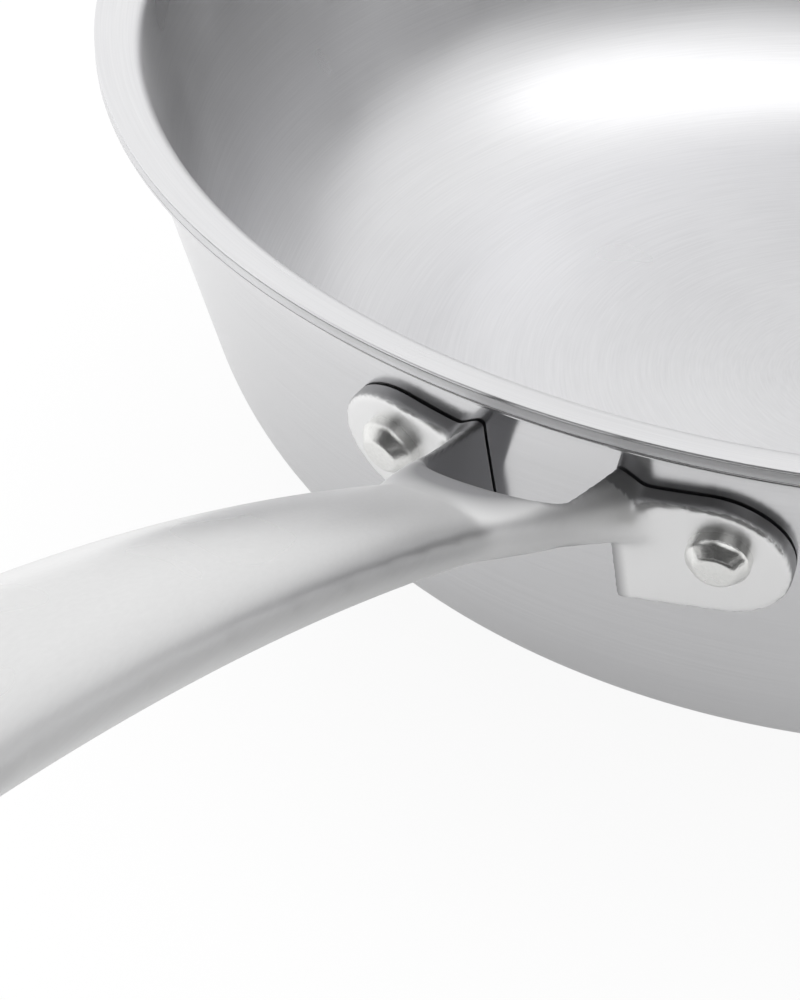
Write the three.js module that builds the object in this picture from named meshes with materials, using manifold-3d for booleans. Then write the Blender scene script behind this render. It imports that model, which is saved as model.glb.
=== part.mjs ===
// A curved-side saute pan: a bowl of three bonded layers with a flared lip, one cast
// handle that forks into two arms with riveted pads, and two solid rivets.
// Sizes are in millimetres and angles in degrees. The pan stands on z = 0 with its
// axis on z, and the handle points along +x.
import * as THREE from 'three';
import { mergeVertices } from 'three/addons/utils/BufferGeometryUtils.js';
import Module from 'manifold-3d';

// Bowl, outside form
const RIM_RADIUS = 125; // top edge of the lip
const PAN_HEIGHT = 73; // table to the lip's top edge
const WALL_FLARE = 15; // lean of the wall from vertical
const NECK_FLARE = 4; // lean just below the lip
const LIP_LEAN = 78; // lean of the lip, nearly level
const CORNER_RADIUS = 37; // outside, between base and wall
const NECK_RADIUS = 45; // outside, where the wall steepens below the lip
const LIP_BEND_RADIUS = 3.5; // inside, between neck and lip
const LIP_WIDTH = 4.5; // straight part of the lip

// Bowl, layers from the outside in
const OUTER_PLY = 0.45;
const CORE_PLY = 1.3;
const INNER_PLY = 0.45;
const BOND_LINE = 0.05; // between two layers

// Rivets
const RIVET_AZIMUTH = 11.2; // each side of the handle's middle plane
const RIVET_DROP = 17.6; // below the lip's top edge
const RIVET_SHANK = 5; // diameter
const RIVET_HEAD = 8.4; // diameter, outside head
const RIVET_FACE = 5.2; // diameter of the flat on the outside head
const RIVET_HEAD_HEIGHT = 3;
const RIVET_TAIL = 10; // diameter, low head inside the pan
const RIVET_TAIL_HEIGHT = 1.6;
const FIT = 0.3; // clearance between parts that are assembled

// Pads of the handle, seen square to the wall and measured from the rivet
const PAD_OUTER_REACH = 8.8; // rivet to the round end
const PAD_INNER_REACH = 16.4; // rivet to the end that the fork's gap trims
const PAD_RISE = 8; // rivet to the top edge
const PAD_FALL = 12.3; // rivet to the bottom edge
const PAD_TILT = 7; // the pad climbs away from the arm
const PAD_THICKNESS = 2.1;
const PAD_EDGE = 0.7; // bevel round the front face

// Fork: two arms with straight inside faces and a crotch with round corners
const FORK_GAP = 18.4; // between the arms
const CROTCH_REACH = 140.5; // pan axis to the inside of the fork
const CROTCH_RADIUS = 6; // of the crotch's two corners
const CROTCH_DEPTH = 8.5; // crotch to the grip's first section
const ARM_THICKNESS = 2.8; // across, where the arm turns to the pad
const ARM_OVERLAP = 5; // how far the arm fairs over the front of the pad
const ARM_HEIGHT = 8.8; // at the pad
const ARM_DROP = 12.8; // lip's top edge to the arm's top, at the pad
const ARM_SQUARENESS = 4; // 2 is an ellipse, higher is boxier
const ARM_LEAVES = 0.25; // share of the arm's way where it leaves the grip's line
const ARM_TURNS = 0.55; // share where it has its full spread and turns to the pad

// Grip
const HANDLE_REACH = 315; // pan axis to the handle's tip
const ROOT_RISE = 0.5; // lip's top edge to the grip's middle line at the fork
const ROOT_SLOPE = 31; // climb of the grip at the fork
const ROOT_PULL = 53; // how far the grip keeps that climb
const TIP_RISE = 50.5; // lip's top edge to the grip's middle line at the tip
const TIP_SLOPE = 4;
const TIP_PULL = 60;
const ROOT_WIDTH = 16;
const TIP_WIDTH = 24;
const ROOT_THICKNESS = 7.2;
const TIP_THICKNESS = 12.2;
const CROWN_SHARE = 0.32; // part of the thickness above the widest line
const GRIP_SQUARENESS = 2.4;
const TIP_BLUNTNESS = 0.4; // 0 keeps the full thickness to the tip, 1 rounds it off

// Hanging slot near the tip
const SLOT_LENGTH = 18;
const SLOT_WIDTH = 8;
const SLOT_MARGIN = 7; // slot's end to the tip

// Fineness of the facets
const BOWL_SEGMENTS = 48;
const SEAT_SEGMENTS = 120;
const CORNER_STEPS = 6;
const NECK_STEPS = 2;
const BEND_STEPS = 3;
const RIVET_SEGMENTS = 20;
const RIVET_STEPS = 4;
const RING_POINTS = 24;
const GRIP_STATIONS = 14;
const TIP_STATIONS = 6;
const ARM_STATIONS = 8;
const PAD_STEPS = 12;
const BEVEL_STEPS = 2;
const GAP_STEPS = 8;
const SLOT_STEPS = 10;
const WELD = 1e-4; // corners nearer than this are one

const { degToRad, lerp } = THREE.MathUtils;
const WALL = OUTER_PLY + CORE_PLY + INNER_PLY + 2 * BOND_LINE;
const flare = degToRad(WALL_FLARE);
const neck = degToRad(NECK_FLARE);
const lean = degToRad(LIP_LEAN);

const wasm = await Module();
wasm.setup();

// Closed geometry to a solid that can be joined and cut
function toSolid(geometry) {
  const bare = geometry.clone();
  bare.deleteAttribute('normal');
  bare.deleteAttribute('uv');
  const merged = mergeVertices(bare, WELD);
  const corners = merged.index.array;
  const triVerts = [];
  for (let i = 0; i < corners.length; i += 3) {
    const [a, b, c] = corners.slice(i, i + 3);
    if (a !== b && b !== c && c !== a) triVerts.push(a, b, c);
  }
  const mesh = new wasm.Mesh({
    numProp: 3,
    vertProperties: Float32Array.from(merged.attributes.position.array),
    triVerts: Uint32Array.from(triVerts),
  });
  return new wasm.Manifold(mesh);
}

function toGeometry(solid) {
  const { vertProperties, triVerts } = solid.getMesh();
  const geometry = new THREE.BufferGeometry();
  geometry.setAttribute('position', new THREE.BufferAttribute(vertProperties, 3));
  geometry.setIndex(new THREE.BufferAttribute(triVerts, 1));
  geometry.computeVertexNormals();
  return geometry;
}

// A profile of radius and height, turned about z
function revolve(profile, segments) {
  return new THREE.LatheGeometry(profile, segments).rotateX(Math.PI / 2);
}

function mirrored(geometry) {
  const copy = geometry.clone().applyMatrix4(new THREE.Matrix4().makeScale(1, -1, 1));
  copy.setIndex([...copy.index.array].reverse());
  return copy;
}

function steel(name, geometry, color, roughness) {
  const material = new THREE.MeshStandardMaterial({ color, roughness, metalness: 1 });
  const mesh = new THREE.Mesh(geometry, material);
  mesh.name = name;
  return mesh;
}

// Bowl profile: the wall's length and the base's radius follow from the lip
const lipBendOutside = LIP_BEND_RADIUS - WALL;
const wallLength = (PAN_HEIGHT - CORNER_RADIUS * (1 - Math.sin(flare))
  - NECK_RADIUS * (Math.sin(flare) - Math.sin(neck)) + lipBendOutside * Math.sin(neck)
  - LIP_BEND_RADIUS * Math.sin(lean) - LIP_WIDTH * Math.cos(lean)) / Math.cos(flare);
const baseRadius = RIM_RADIUS - CORNER_RADIUS * Math.cos(flare) - wallLength * Math.sin(flare)
  - NECK_RADIUS * (Math.cos(neck) - Math.cos(flare)) - lipBendOutside * Math.cos(neck)
  + LIP_BEND_RADIUS * Math.cos(lean) - LIP_WIDTH * Math.sin(lean);
const outward = new THREE.Vector2(Math.cos(flare), -Math.sin(flare));
const cornerCentre = new THREE.Vector2(baseRadius, CORNER_RADIUS);
const wallStart = cornerCentre.clone().addScaledVector(outward, CORNER_RADIUS);
const upward = new THREE.Vector2(Math.sin(flare), Math.cos(flare));
const wallEnd = wallStart.clone().addScaledVector(upward, wallLength);
const neckCentre = wallEnd.clone().addScaledVector(outward, -NECK_RADIUS);
const lipCentre = new THREE.Vector2(Math.cos(neck), -Math.sin(neck))
  .multiplyScalar(NECK_RADIUS + lipBendOutside).add(neckCentre);

function arc(centre, radius, from, to, steps) {
  const curve = new THREE.EllipseCurve(centre.x, centre.y, radius, radius, from, to, to < from);
  return curve.getPoints(steps);
}

// The surface that lies at a depth under the outside face, from the axis to the lip's edge
function bowlSurface(depth) {
  const bend = arc(lipCentre, lipBendOutside + depth, Math.PI - neck, Math.PI - lean, BEND_STEPS);
  const { x, y } = bend.at(-1);
  const edge = new THREE.Vector2(RIM_RADIUS, y + (RIM_RADIUS - x) / Math.tan(lean));
  return [
    new THREE.Vector2(0, depth),
    ...arc(cornerCentre, CORNER_RADIUS - depth, -Math.PI / 2, -flare, CORNER_STEPS),
    ...arc(neckCentre, NECK_RADIUS - depth, -flare, -neck, NECK_STEPS),
    ...bend.slice(1),
    edge,
  ];
}

function layer(depth, thickness) {
  const profile = [...bowlSurface(depth), ...bowlSurface(depth + thickness).reverse()];
  return revolve(profile, BOWL_SEGMENTS);
}

// Rivet axes: square to the wall, at the wall's outside face
const rivetHeight = PAN_HEIGHT - RIVET_DROP;
const rivetRadius = wallEnd.x + (rivetHeight - wallEnd.y) * Math.tan(flare);

function rivetSeat(side) {
  const turn = new THREE.Group();
  turn.rotation.z = degToRad(side * RIVET_AZIMUTH);
  const seat = new THREE.Group();
  seat.position.set(rivetRadius, 0, rivetHeight);
  seat.rotation.set(0, Math.PI / 2 + flare, Math.PI / 2, 'YXZ');
  turn.add(seat);
  turn.updateMatrixWorld(true);
  return { turn, seat };
}

function at(seat, geometry) {
  return geometry.clone().applyMatrix4(seat.matrixWorld);
}

// Rivet about its own axis, with height 0 on the wall's outside face
const headSeat = PAD_THICKNESS + 2 * FIT;
const neckReach = Math.max(0, rivetHeight + RIVET_TAIL / 2 - wallEnd.y);
const neckSag = NECK_RADIUS - Math.sqrt(NECK_RADIUS ** 2 - neckReach ** 2);
const tailSeat = -WALL - FIT - neckSag;
const shoulder = (RIVET_HEAD - RIVET_FACE) / 2;
const rivetProfile = [
  new THREE.Vector2(0, tailSeat - RIVET_TAIL_HEIGHT),
  ...arc(new THREE.Vector2(RIVET_TAIL / 2 - RIVET_TAIL_HEIGHT, tailSeat), RIVET_TAIL_HEIGHT,
    -Math.PI / 2, 0, RIVET_STEPS),
  new THREE.Vector2(RIVET_SHANK / 2, tailSeat),
  new THREE.Vector2(RIVET_SHANK / 2, headSeat),
  new THREE.Vector2(RIVET_HEAD / 2, headSeat),
  ...arc(new THREE.Vector2(RIVET_FACE / 2, headSeat + RIVET_HEAD_HEIGHT - shoulder), shoulder,
    0, Math.PI / 2, RIVET_STEPS),
  new THREE.Vector2(0, headSeat + RIVET_HEAD_HEIGHT),
];
const rivet = revolve(rivetProfile, RIVET_SEGMENTS);
const holeRadius = RIVET_SHANK / 2 + FIT;
const holeDepth = 4 * (WALL + PAD_THICKNESS + RIVET_HEAD_HEIGHT);
const hole = new THREE.CylinderGeometry(holeRadius, holeRadius, holeDepth, RIVET_SEGMENTS)
  .rotateX(Math.PI / 2);

const leftSeat = rivetSeat(-1);
const rightSeat = rivetSeat(1);
const rivetHoles = toSolid(at(leftSeat.seat, hole)).add(toSolid(at(rightSeat.seat, hole)));

function drilled(geometry) {
  return toGeometry(toSolid(geometry).subtract(rivetHoles));
}

// Sections of the handle: a ring in a vertical plane, from the top over the outer side to
// the bottom and back over the inner side
function sectionRing({ inner, middle, outer, top, waist, bottom, squareness }) {
  const ring = [];
  for (let i = 0; i < RING_POINTS; i += 1) {
    const angle = Math.PI / 2 - (2 * Math.PI * i) / RING_POINTS;
    const across = Math.abs(Math.cos(angle)) ** (2 / squareness);
    const along = Math.abs(Math.sin(angle)) ** (2 / squareness);
    const side = i < RING_POINTS / 2 ? outer : inner;
    const height = Math.sin(angle) > 0 ? top : bottom;
    ring.push(new THREE.Vector3(
      lerp(middle.x, side.x, across),
      lerp(middle.y, side.y, across),
      lerp(waist, height, along),
    ));
  }
  return ring;
}

// Closed skin over rings of equal count
function skin(rings, corners) {
  rings.slice(1).forEach((next, k) => {
    const ring = rings[k];
    ring.forEach((a, i) => {
      const j = (i + 1) % ring.length;
      corners.push(a, ring[j], next[j], a, next[j], next[i]);
    });
  });
  [[...rings[0]].reverse(), rings.at(-1)].forEach((end) => {
    const centre = new THREE.Vector3();
    end.forEach((point) => centre.addScaledVector(point, 1 / end.length));
    end.forEach((a, i) => corners.push(centre, a, end[(i + 1) % end.length]));
  });
}

// Grip: sections along a rising curve that levels out towards the tip
const rootSlope = degToRad(ROOT_SLOPE);
const tipSlope = degToRad(TIP_SLOPE);
const tipRound = TIP_WIDTH / 2;
const gripStart = new THREE.Vector2(CROTCH_REACH + CROTCH_DEPTH, PAN_HEIGHT + ROOT_RISE);
const gripEnd = new THREE.Vector2(HANDLE_REACH - tipRound, PAN_HEIGHT + TIP_RISE);
const rootClimb = new THREE.Vector2(Math.cos(rootSlope), Math.sin(rootSlope));
const tipClimb = new THREE.Vector2(Math.cos(tipSlope), Math.sin(tipSlope));
const gripLine = new THREE.CubicBezierCurve(
  gripStart,
  gripStart.clone().addScaledVector(rootClimb, ROOT_PULL),
  gripEnd.clone().addScaledVector(tipClimb, -TIP_PULL),
  gripEnd,
);

function gripSize(share) {
  const slope = Math.atan2(gripLine.getTangent(share).y, gripLine.getTangent(share).x);
  const widening = 1 - (1 - share) ** 2;
  return {
    halfWidth: lerp(ROOT_WIDTH, TIP_WIDTH, widening) / 2,
    thickness: lerp(ROOT_THICKNESS, TIP_THICKNESS, widening) / Math.cos(slope),
  };
}

function gripRing(centre, halfWidth, thickness) {
  return sectionRing({
    inner: new THREE.Vector2(centre.x, -halfWidth),
    middle: new THREE.Vector2(centre.x, 0),
    outer: new THREE.Vector2(centre.x, halfWidth),
    top: centre.y + thickness * CROWN_SHARE,
    waist: centre.y,
    bottom: centre.y - thickness * (1 - CROWN_SHARE),
    squareness: GRIP_SQUARENESS,
  });
}

const gripRings = [];
for (let i = 0; i <= GRIP_STATIONS; i += 1) {
  const share = i / GRIP_STATIONS;
  const { halfWidth, thickness } = gripSize(share);
  gripRings.push(gripRing(gripLine.getPoint(share), halfWidth, thickness));
}
for (let i = 1; i < TIP_STATIONS; i += 1) {
  const turn = (Math.PI / 2) * (i / TIP_STATIONS);
  const step = new THREE.Vector2(1, Math.tan(tipSlope)).multiplyScalar(tipRound * Math.sin(turn));
  const { halfWidth, thickness } = gripSize(1);
  const narrowing = Math.cos(turn);
  const thinning = narrowing ** TIP_BLUNTNESS;
  gripRings.push(gripRing(step.add(gripEnd), halfWidth * narrowing, thickness * thinning));
}

// Fork: the grip's sections widen to the pads and keep its climb, and a gap with round
// corners parts them into two arms
const root = gripSize(0);
const padTurn = degToRad(RIVET_AZIMUTH);
const padOut = new THREE.Vector2(Math.cos(padTurn), Math.sin(padTurn));
const padAlong = new THREE.Vector2(-Math.sin(padTurn), Math.cos(padTurn));
const halfGap = FORK_GAP / 2;

// A point of the pad in plan, past the gap's side and out from the wall's outside face
function padPoint(along, out) {
  const face = padOut.clone().multiplyScalar(rivetRadius + out);
  return face.addScaledVector(padAlong, (halfGap + along - face.y) / padAlong.y);
}

const armStart = new THREE.Vector2(gripStart.x, root.halfWidth);
const armEnd = padPoint(ARM_OVERLAP, PAD_THICKNESS - PAD_EDGE);
const armLine = new THREE.CubicBezierCurve(
  armStart,
  new THREE.Vector2(lerp(armStart.x, armEnd.x, ARM_LEAVES), root.halfWidth),
  new THREE.Vector2(lerp(armStart.x, armEnd.x, ARM_TURNS), halfGap + ARM_THICKNESS),
  armEnd,
);
const armRoot = padPoint(ARM_OVERLAP, -WALL);
const armTop = PAN_HEIGHT - ARM_DROP;

function forkRing(outer, share) {
  const top = lerp(gripStart.y + root.thickness * CROWN_SHARE, armTop, share);
  const bottom = lerp(gripStart.y - root.thickness * (1 - CROWN_SHARE), armTop - ARM_HEIGHT, share);
  return sectionRing({
    inner: new THREE.Vector2(outer.x, -outer.y),
    middle: new THREE.Vector2(outer.x, 0),
    outer,
    top,
    waist: lerp(bottom, top, 1 - CROWN_SHARE),
    bottom,
    squareness: lerp(GRIP_SQUARENESS, ARM_SQUARENESS, share),
  });
}

const forkRings = [];
for (let i = 1; i <= ARM_STATIONS; i += 1) {
  const outer = armLine.getPoint(i / ARM_STATIONS);
  forkRings.push(forkRing(outer, (armStart.x - outer.x) / (armStart.x - armEnd.x)));
}
forkRings.push(forkRing(new THREE.Vector2(armRoot.x, armEnd.y), 1));

const castingCorners = [];
skin([...forkRings.reverse(), ...gripRings].map((ring) => [...ring].reverse()), castingCorners);
const casting = new THREE.BufferGeometry().setFromPoints(castingCorners);

const gapShape = new THREE.Shape();
const gapCorner = CROTCH_REACH - CROTCH_RADIUS;
gapShape.absarc(gapCorner, CROTCH_RADIUS - halfGap, CROTCH_RADIUS, -Math.PI / 2, 0, false);
gapShape.absarc(gapCorner, halfGap - CROTCH_RADIUS, CROTCH_RADIUS, 0, Math.PI / 2, false);
gapShape.lineTo(0, halfGap);
gapShape.lineTo(0, -halfGap);
const gap = new THREE.ExtrudeGeometry(gapShape, {
  depth: 2 * PAN_HEIGHT,
  bevelEnabled: false,
  curveSegments: GAP_STEPS,
});

// Pads: flat-fronted plates that are hollowed to the wall at the back
function padOutline() {
  const shape = new THREE.Shape();
  const endRadius = (PAD_RISE + PAD_FALL) / 2;
  const middle = (PAD_RISE - PAD_FALL) / 2;
  shape.absarc(PAD_OUTER_REACH - endRadius, middle, endRadius, -Math.PI / 2, Math.PI / 2, false);
  shape.lineTo(-PAD_INNER_REACH, PAD_RISE);
  shape.lineTo(-PAD_INNER_REACH, -PAD_FALL);
  return shape;
}

const padBack = WALL + PAD_THICKNESS;
const pad = new THREE.ExtrudeGeometry(padOutline(), {
  depth: padBack + FIT + PAD_THICKNESS - 2 * PAD_EDGE,
  bevelThickness: PAD_EDGE,
  bevelSize: PAD_EDGE,
  bevelOffset: -PAD_EDGE,
  bevelSegments: BEVEL_STEPS,
  curveSegments: PAD_STEPS,
}).translate(0, 0, PAD_EDGE - padBack).rotateZ(degToRad(PAD_TILT));

const bowlSeat = revolve([...bowlSurface(-FIT), new THREE.Vector2(0, PAN_HEIGHT)], SEAT_SEGMENTS);

// Hanging slot through the tip
const slotReach = SLOT_LENGTH / 2 - SLOT_WIDTH / 2;
const slotShape = new THREE.Shape();
slotShape.absarc(slotReach, 0, SLOT_WIDTH / 2, -Math.PI / 2, Math.PI / 2, false);
slotShape.absarc(-slotReach, 0, SLOT_WIDTH / 2, Math.PI / 2, (3 * Math.PI) / 2, false);
const slotDepth = 4 * TIP_THICKNESS;
const slot = new THREE.ExtrudeGeometry(slotShape, {
  depth: slotDepth,
  bevelEnabled: false,
  curveSegments: SLOT_STEPS,
})
  .translate(0, 0, -slotDepth / 2)
  .rotateY(-tipSlope)
  .translate(HANDLE_REACH - SLOT_MARGIN - SLOT_LENGTH / 2, 0, gripEnd.y);

const rightPad = at(rightSeat.seat, mergeVertices(pad));
const handle = toSolid(casting)
  .add(toSolid(rightPad))
  .add(toSolid(mirrored(rightPad)))
  .subtract(toSolid(gap))
  .subtract(toSolid(bowlSeat))
  .subtract(rivetHoles)
  .subtract(toSolid(slot));

const pan = new THREE.Group();
pan.add(steel('outer_shell', drilled(layer(0, OUTER_PLY)), '#c6c7c9', 0.34));
pan.add(steel('core', drilled(layer(OUTER_PLY + BOND_LINE, CORE_PLY)), '#b4b6b8', 0.5));
pan.add(steel('inner_shell', drilled(layer(WALL - INNER_PLY, INNER_PLY)), '#d2d2d3', 0.3));
pan.add(steel('handle', toGeometry(handle), '#cecfcf', 0.38));
leftSeat.seat.add(steel('rivet_left', rivet, '#d6d5d1', 0.28));
rightSeat.seat.add(steel('rivet_right', rivet.clone(), '#d6d5d1', 0.28));
pan.add(leftSeat.turn, rightSeat.turn);

export default pan;
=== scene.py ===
"""Dresses a curved-side saute pan: a satin bowl of three layers, a forked cast handle and its rivets."""

import logging
import math
from collections.abc import Callable
from dataclasses import dataclass, field
from enum import Enum

import bmesh
import bpy
from mathutils import Matrix, Vector
from mathutils.geometry import interpolate_bezier


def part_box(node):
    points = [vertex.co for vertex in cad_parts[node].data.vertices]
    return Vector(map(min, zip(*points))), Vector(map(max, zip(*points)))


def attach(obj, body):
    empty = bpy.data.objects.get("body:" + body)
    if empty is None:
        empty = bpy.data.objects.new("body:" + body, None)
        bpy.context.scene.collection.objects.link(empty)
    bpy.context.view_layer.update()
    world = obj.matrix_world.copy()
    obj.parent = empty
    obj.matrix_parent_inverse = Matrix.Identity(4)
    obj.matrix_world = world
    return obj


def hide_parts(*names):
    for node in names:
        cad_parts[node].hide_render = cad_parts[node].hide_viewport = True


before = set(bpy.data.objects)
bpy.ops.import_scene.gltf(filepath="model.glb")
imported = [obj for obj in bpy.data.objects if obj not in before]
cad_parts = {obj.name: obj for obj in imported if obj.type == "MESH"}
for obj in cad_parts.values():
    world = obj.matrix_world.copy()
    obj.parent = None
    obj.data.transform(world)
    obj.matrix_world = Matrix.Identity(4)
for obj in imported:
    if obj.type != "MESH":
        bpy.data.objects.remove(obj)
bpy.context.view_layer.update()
BODY = "root"
MM = 0.001
WELD = 0.001 * MM
ROUND_PULL = 0.55
SIDES = (-1, 1)
# Name of the handle's marks: painted shade in red, the blasted surface in green and blue.
SHADE_AND_BLAST_MARKS = "painted_shade_and_blast"
log = logging.getLogger("saute_pan")

Outline = list[Vector]
Colour = tuple[float, float, float]
Span = tuple[float, float]
Piece = bpy.types.Object
Nodes = bpy.types.NodeTree
Socket = bpy.types.NodeSocket
Look = tuple[Socket, Socket]


class Grain(Enum):
    """The way that a finish was worked."""

    ROUND = "round the pan's axis"
    LENGTHWISE = "along the handle"
    HAMMERED = "in all directions"


@dataclass(frozen=True)
class Finish:
    """One finish of the metal.

    Attributes:
        name: the material's name.
        grain: the way that it was worked.
        dark: colour of its darkest strokes.
        light: colour of its lightest strokes.
        gloss: roughness where it is glossiest and where it is dullest.
        strokes: about how many strokes lie in a metre.
        depth: height of the strokes.
        stroke_length: length of strokes round the axis, as a share of their radius.
        polish: how bright its edges are.
        spread: how far strokes round the axis spread a reflection.
    """

    name: str
    grain: Grain
    dark: Colour
    light: Colour
    gloss: Span
    strokes: float
    depth: float
    stroke_length: float = 1.0
    polish: float = 0.0
    spread: float = 0.0


SATIN = Finish(
    name="worked_satin_steel",
    grain=Grain.ROUND,
    dark=(0.60, 0.60, 0.61),
    light=(0.73, 0.73, 0.74),
    gloss=(0.17, 0.22),
    strokes=3200,
    depth=0.0004 * MM,
    stroke_length=0.3,
    spread=0.85,
)
INSIDE = Finish(
    name="brushed_inside",
    grain=Grain.ROUND,
    dark=(0.66, 0.66, 0.67),
    light=(0.82, 0.82, 0.83),
    gloss=(0.27, 0.34),
    strokes=2600,
    depth=0.0003 * MM,
    stroke_length=0.2,
    spread=0.8,
)
CORE = Finish(
    name="core_edge",
    grain=Grain.ROUND,
    dark=(0.80, 0.80, 0.81),
    light=(0.88, 0.88, 0.89),
    gloss=(0.55, 0.7),
    strokes=3000,
    depth=0.006 * MM,
    stroke_length=0.5,
)
CAST = Finish(
    name="worked_cast_steel",
    grain=Grain.LENGTHWISE,
    dark=(0.68, 0.68, 0.68),
    light=(0.76, 0.76, 0.76),
    gloss=(0.26, 0.29),
    strokes=2500,
    depth=0.0005 * MM,
    polish=0.5,
)
RIVET = Finish(
    name="worked_rivet_steel",
    grain=Grain.HAMMERED,
    dark=(0.68, 0.68, 0.67),
    light=(0.90, 0.90, 0.88),
    gloss=(0.22, 0.34),
    strokes=2200,
    depth=0.05 * MM,
    polish=0.5,
)


def deselect_all() -> None:
    """Leave edit mode and select nothing."""
    if bpy.context.object and bpy.context.object.mode != "OBJECT":
        bpy.ops.object.mode_set(mode="OBJECT")
    bpy.ops.object.select_all(action="DESELECT")


def pick(piece: Piece) -> None:
    """Make a piece the only selected and the active one.

    Args:
        piece: the object.
    """
    deselect_all()
    piece.select_set(True)
    bpy.context.view_layer.objects.active = piece


def settle(piece: Piece, place: Matrix | None = None) -> Piece:
    """Move a piece to its place and put that place into its mesh.

    Args:
        piece: the object, alone in its scene place.
        place: where it goes, or None to keep it where it is.

    Returns:
        The same object, at the origin, unturned and unscaled.
    """
    pick(piece)
    if place is not None:
        piece.matrix_world = place
        bpy.context.view_layer.update()
    bpy.ops.object.transform_apply(location=True, rotation=True, scale=True)
    return piece


def choose(piece: Piece, mode: str, test: Callable[[Vector], bool]) -> None:
    """Select the parts of a mesh in edit mode by their place.

    Args:
        piece: the object in edit mode.
        mode: VERT, EDGE or FACE.
        test: says whether a vertex's place belongs to the selection; an edge or a face
            belongs when all its vertices do.
    """
    bpy.ops.mesh.select_mode(type=mode)
    bpy.ops.mesh.select_all(action="DESELECT")
    mesh = bmesh.from_edit_mesh(piece.data)
    for vert in mesh.verts:
        vert.select = mode == "VERT" and test(vert.co)
    for part in {"VERT": [], "EDGE": mesh.edges, "FACE": mesh.faces}[mode]:
        part.select_set(all(test(vert.co) for vert in part.verts))
    mesh.select_flush_mode()
    bmesh.update_edit_mesh(piece.data)


def apply_modifier(piece: Piece, kind: str, **settings: object) -> None:
    """Add a modifier to a piece, set it and apply it.

    Args:
        piece: the object to change.
        kind: Blender's name of the modifier's type.
        settings: values of the modifier's properties.
    """
    pick(piece)
    modifier = piece.modifiers.new(kind.lower(), kind)
    for key, value in settings.items():
        setattr(modifier, key, value)
    bpy.ops.object.modifier_apply(modifier=modifier.name)


def cut(piece: Piece, cutters: list[Piece]) -> None:
    """Cut a piece by some solids and delete the solids.

    Args:
        piece: the object that is cut.
        cutters: closed solids.
    """
    for cutter in cutters:
        apply_modifier(piece, "BOOLEAN", operation="DIFFERENCE", solver="MANIFOLD", object=cutter)
        bpy.data.objects.remove(cutter)


def shade(piece: Piece, crease: float = math.radians(32)) -> None:
    """Shade a piece smooth, apart from edges sharper than the crease angle."""
    pick(piece)
    bpy.ops.object.shade_smooth_by_angle(angle=crease)


def turn_outwards(piece: Piece) -> None:
    """Turn the faces of a closed solid outwards.

    Args:
        piece: the solid.
    """
    pick(piece)
    bpy.ops.object.mode_set(mode="EDIT")
    bpy.ops.mesh.select_all(action="SELECT")
    bpy.ops.mesh.normals_make_consistent(inside=False)
    bpy.ops.object.mode_set(mode="OBJECT")


def ramp(value: float, start: float, end: float) -> float:
    """How far a value has come from a start to an end, from 0 to 1."""
    return min(1.0, max(0.0, (value - start) / (end - start)))


def direction(azimuth: float, height: float) -> Vector:
    """A unit vector towards an azimuth from +x and a height above the horizon."""
    level = math.cos(height)
    return Vector((level * math.cos(azimuth), level * math.sin(azimuth), math.sin(height)))


def arc(centre: Vector, radius: float, start: float, end: float, steps: int) -> Outline:
    """Points of an arc in the plane of radius and height, both ends included."""
    angles = [start + (end - start) * i / steps for i in range(steps + 1)]
    return [centre + radius * Vector((math.cos(a), math.sin(a))) for a in angles]


def rounded(before: Vector, corner: Vector, after: Vector, reach: float, steps: int = 3) -> Outline:
    """Points that round off a corner of an outline.

    Args:
        before: the point before the corner.
        corner: the corner.
        after: the point after it.
        reach: how far the rounding reaches along both sides.
        steps: its segments.

    Returns:
        Points of a curve from one side to the other.
    """
    start = corner + (before - corner).normalized() * reach
    end = corner + (after - corner).normalized() * reach
    bends = [start, start.lerp(corner, ROUND_PULL), end.lerp(corner, ROUND_PULL), end]
    return [point.to_2d() for point in interpolate_bezier(*bends, steps + 1)]


def spin_solid(name: str, outline: Outline, steps: int) -> Piece:
    """Turn an outline of radius and height about z.

    Args:
        name: the new object's name.
        outline: points from the axis round to the axis.
        steps: segments of the full turn.

    Returns:
        A closed solid.
    """
    deselect_all()
    first = outline[0]
    bpy.ops.mesh.primitive_plane_add(size=MM, location=(first.x, 0, first.y))
    piece = bpy.context.object
    piece.name = name
    settle(piece)
    bpy.ops.object.mode_set(mode="EDIT")
    bpy.ops.mesh.select_mode(type="VERT")
    bpy.ops.mesh.select_all(action="SELECT")
    bpy.ops.mesh.merge(type="CENTER")
    for start, end in zip(outline, outline[1:]):
        step = end - start
        bpy.ops.mesh.extrude_region_move(TRANSFORM_OT_translate={"value": (step.x, 0, step.y)})
    bpy.ops.mesh.select_all(action="SELECT")
    bpy.ops.mesh.spin(steps=steps, angle=math.tau, center=(0, 0, 0), axis=(0, 0, 1))
    bpy.ops.mesh.select_all(action="SELECT")
    bpy.ops.mesh.remove_doubles(threshold=WELD)
    bpy.ops.mesh.normals_make_consistent(inside=False)
    bpy.ops.object.mode_set(mode="OBJECT")
    return piece


def feed(tree: Nodes, socket: Socket, value: object) -> None:
    """Link a socket into an input, or set the input to a value.

    Args:
        tree: the nodes' tree.
        socket: the input.
        value: the socket or the value.
    """
    if isinstance(value, Socket):
        tree.links.new(value, socket)
    else:
        socket.default_value = value


def math_node(tree: Nodes, operation: str, *values: object) -> Socket:
    """Add a Math node.

    Args:
        tree: the tree that gets the node.
        operation: what it does.
        values: a number or a socket for each input.

    Returns:
        The node's output.
    """
    node = tree.nodes.new("ShaderNodeMath")
    node.operation = operation
    for socket, value in zip(node.inputs, values):
        feed(tree, socket, value)
    return node.outputs[0]


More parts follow.
